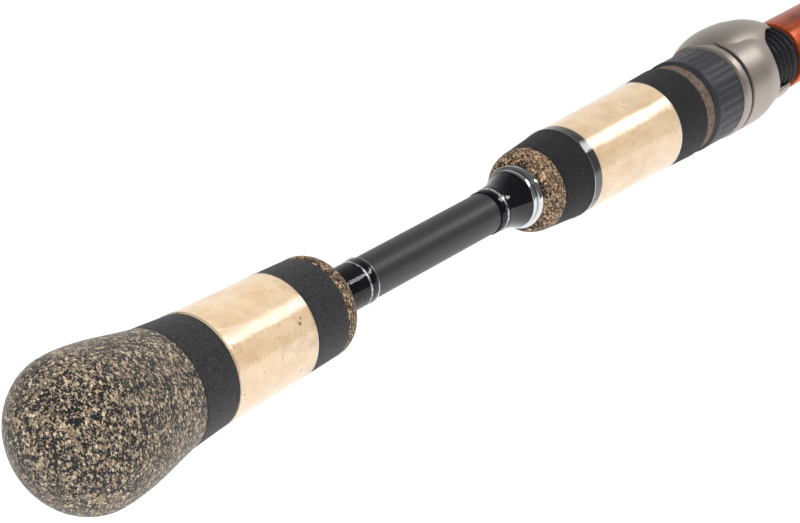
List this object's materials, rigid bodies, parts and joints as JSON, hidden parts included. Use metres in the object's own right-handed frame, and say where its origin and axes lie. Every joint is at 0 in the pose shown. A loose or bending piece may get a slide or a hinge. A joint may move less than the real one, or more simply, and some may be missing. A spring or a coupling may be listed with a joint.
{
  "type": "ice fishing rod",
  "caption": "Short fishing rod with a split cork and foam grip, a screw-down reel seat with sliding hood, a tapered blank and ringed line guides.",
  "frame": {"origin": "on the rod's axis, midway between the ends of the two hoods with the sliding hood wound back", "axes": "+X along the rod towards the tip, +Z to the side of the reel foot and the line guides"},
  "size_m": [0.914, 0.0356, 0.0407],
  "materials": {
    "composite": "matte, granulated cork and rubber",
    "brown_composite": "matte, fine granulated cork and rubber",
    "foam": "matte closed-cell foam",
    "cork": "smooth pale cork",
    "film": "clear glossy shrink film",
    "graphite": "satin dark grey",
    "thread": "black thread under clear coat",
    "metallic_thread": "silver metallic thread",
    "clear_coat": "clear gloss coat",
    "black_gloss": "gloss black",
    "bright_metal": "bright polished",
    "barrel_plastic": "satin black moulding",
    "insert": "gloss copper orange",
    "arbor": "rigid foam-like plastic",
    "nut_metal": "satin charcoal anodised",
    "spring_steel": "plain",
    "hood_metal": "satin gunmetal",
    "guide_steel": "polished wire and strip",
    "ceramic": "polished dark"
  },
  "bodies": {
    "rod": {"butt_knob": "composite", "butt_foam_ring": "foam", "rear_cork": "cork", "rear_cork_film": "film", "rear_foam_ring": "foam", "rear_trim_ring": "composite", "handle_tube": "graphite", "rear_wrap_thread": "thread", "rear_wrap_band": "metallic_thread", "rear_wrap_coat": "clear_coat", "front_wrap_thread": "thread", "front_wrap_band": "metallic_thread", "front_wrap_coat": "clear_coat", "winding_check_flare": "black_gloss", "winding_check_ring": "bright_metal", "fore_end_ring": "composite", "fore_foam_rear_ring": "foam", "fore_cork": "cork", "fore_cork_film": "film", "fore_foam_front_ring": "foam", "seat_trim_ring": "brown_composite", "seat_barrel": "barrel_plastic", "seat_insert": "insert", "seat_arbors": "arbor", "front_hood": "hood_metal", "nose_cone": "composite", "nose_check": "bright_metal", "blank": "graphite", "guide_frame_1": "guide_steel", "guide_frame_2": "guide_steel", "guide_frame_3": "guide_steel", "guide_frame_4": "guide_steel", "guide_frame_5": "guide_steel", "guide_ring_1": "ceramic", "guide_ring_2": "ceramic", "guide_ring_3": "ceramic", "guide_ring_4": "ceramic", "guide_ring_5": "ceramic", "guide_wrap_1": "thread", "guide_wrap_2": "thread", "guide_wrap_3": "thread", "guide_wrap_4": "thread", "guide_wrap_5": "thread", "tip_frame": "guide_steel", "tip_ring": "ceramic", "tip_wrap": "thread"},
    "hood": {"sliding_hood": "hood_metal", "hood_bush": "barrel_plastic"},
    "nut": {"lock_nut": "nut_metal", "nut_snap_ring": "spring_steel"}
  },
  "joints": [
    {"name": "hood_slide", "type": "slide", "parent": "rod", "child": "hood", "axis": [1, 0, 0], "range_m": [0, 0.012]},
    {"name": "nut_spin", "type": "hinge", "parent": "hood", "child": "nut", "pos_m": [-0.06, 0, 0], "axis": [1, 0, 0], "range_deg": [0, 1800]}
  ],
  "couplings": [
    {"joint": "nut_spin", "follows": "hood_slide", "rad_per_m": 2618}
  ]
}
